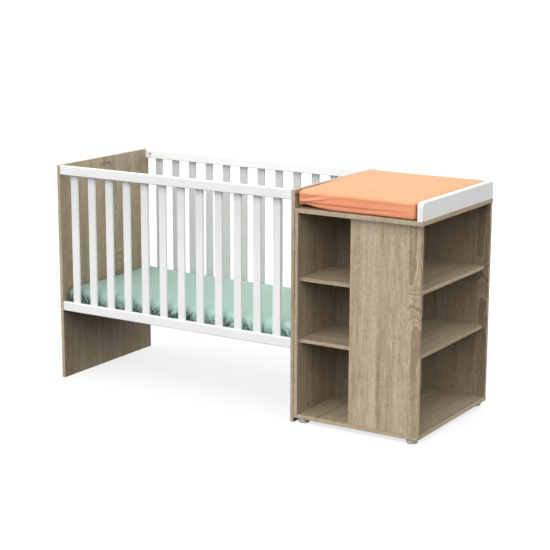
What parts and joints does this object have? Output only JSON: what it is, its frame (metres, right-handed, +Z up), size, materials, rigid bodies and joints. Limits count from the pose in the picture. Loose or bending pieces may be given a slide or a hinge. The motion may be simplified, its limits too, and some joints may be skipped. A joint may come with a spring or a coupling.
{
  "type": "crib with attached changer",
  "caption": "Slatted crib for a 120 x 60 cm mattress, joined end to end with an open shelf cabinet whose top is a changer with a mat and a guard board.",
  "frame": {"origin": "on the floor, under the middle of the whole piece of furniture, the changer cabinet included", "axes": "+X from the crib's head end to the changer cabinet, +Y from the open front to the back, +Z up"},
  "size_m": [1.827, 0.664, 0.9873],
  "materials": {
    "oak_decor": "melamine oak decor on chipboard, satin, fine upright grain",
    "white_lacquer": "white lacquered beech, satin",
    "pine": "raw planed pine",
    "mint_sheet": "soft knitted cotton sheet over foam",
    "apricot_cover": "wipe-clean coated cover over foam, matt",
    "grey_plastic": "moulded grey plastic",
    "zinc": "zinc plated steel"
  },
  "bodies": {
    "frame": {"head_end_panel": "oak_decor", "foot_end_panel": "oak_decor", "front_top_rail": "white_lacquer", "front_bottom_rail": "white_lacquer", "back_top_rail": "white_lacquer", "back_bottom_rail": "white_lacquer", "front_slat_01": "white_lacquer", "front_slat_02": "white_lacquer", "front_slat_03": "white_lacquer", "front_slat_04": "white_lacquer", "front_slat_05": "white_lacquer", "front_slat_06": "white_lacquer", "front_slat_07": "white_lacquer", "front_slat_08": "white_lacquer", "front_slat_09": "white_lacquer", "front_slat_10": "white_lacquer", "front_slat_11": "white_lacquer", "front_slat_12": "white_lacquer", "back_slat_01": "white_lacquer", "back_slat_02": "white_lacquer", "back_slat_03": "white_lacquer", "back_slat_04": "white_lacquer", "back_slat_05": "white_lacquer", "back_slat_06": "white_lacquer", "back_slat_07": "white_lacquer", "back_slat_08": "white_lacquer", "back_slat_09": "white_lacquer", "back_slat_10": "white_lacquer", "back_slat_11": "white_lacquer", "back_slat_12": "white_lacquer", "base_side_battens": "pine", "base_end_beams": "pine", "base_slats": "pine", "base_cleats": "pine", "cabinet_side_panel": "oak_decor", "cabinet_top": "oak_decor", "cabinet_bottom": "oak_decor", "front_panel": "oak_decor", "rear_panel": "oak_decor", "long_divider": "oak_decor", "niche_divider": "oak_decor", "front_niche_shelf_low": "oak_decor", "front_niche_shelf_high": "oak_decor", "rear_niche_shelf_low": "oak_decor", "rear_niche_shelf_high": "oak_decor", "side_shelf_low": "oak_decor", "side_shelf_high": "oak_decor", "guard_board": "white_lacquer", "cabinet_feet": "grey_plastic", "crib_bolts": "zinc", "barrel_nuts": "zinc", "connector_bolts": "zinc", "connector_sleeves": "zinc", "cam_locks": "zinc", "cam_pins": "zinc", "dowels": "pine", "shelf_pins": "zinc", "wood_screws": "zinc"},
    "mattress_body": {"mattress": "mint_sheet"},
    "mat_body": {"changing_mat": "apricot_cover"}
  },
  "joints": [
    {"name": "mattress_lift", "type": "slide", "parent": "frame", "child": "mattress_body", "axis": [0, 0, 1], "range_m": [0, 0.68]},
    {"name": "changing_mat_lift", "type": "slide", "parent": "frame", "child": "mat_body", "axis": [0, 0, 1], "range_m": [0, 0.12]}
  ]
}
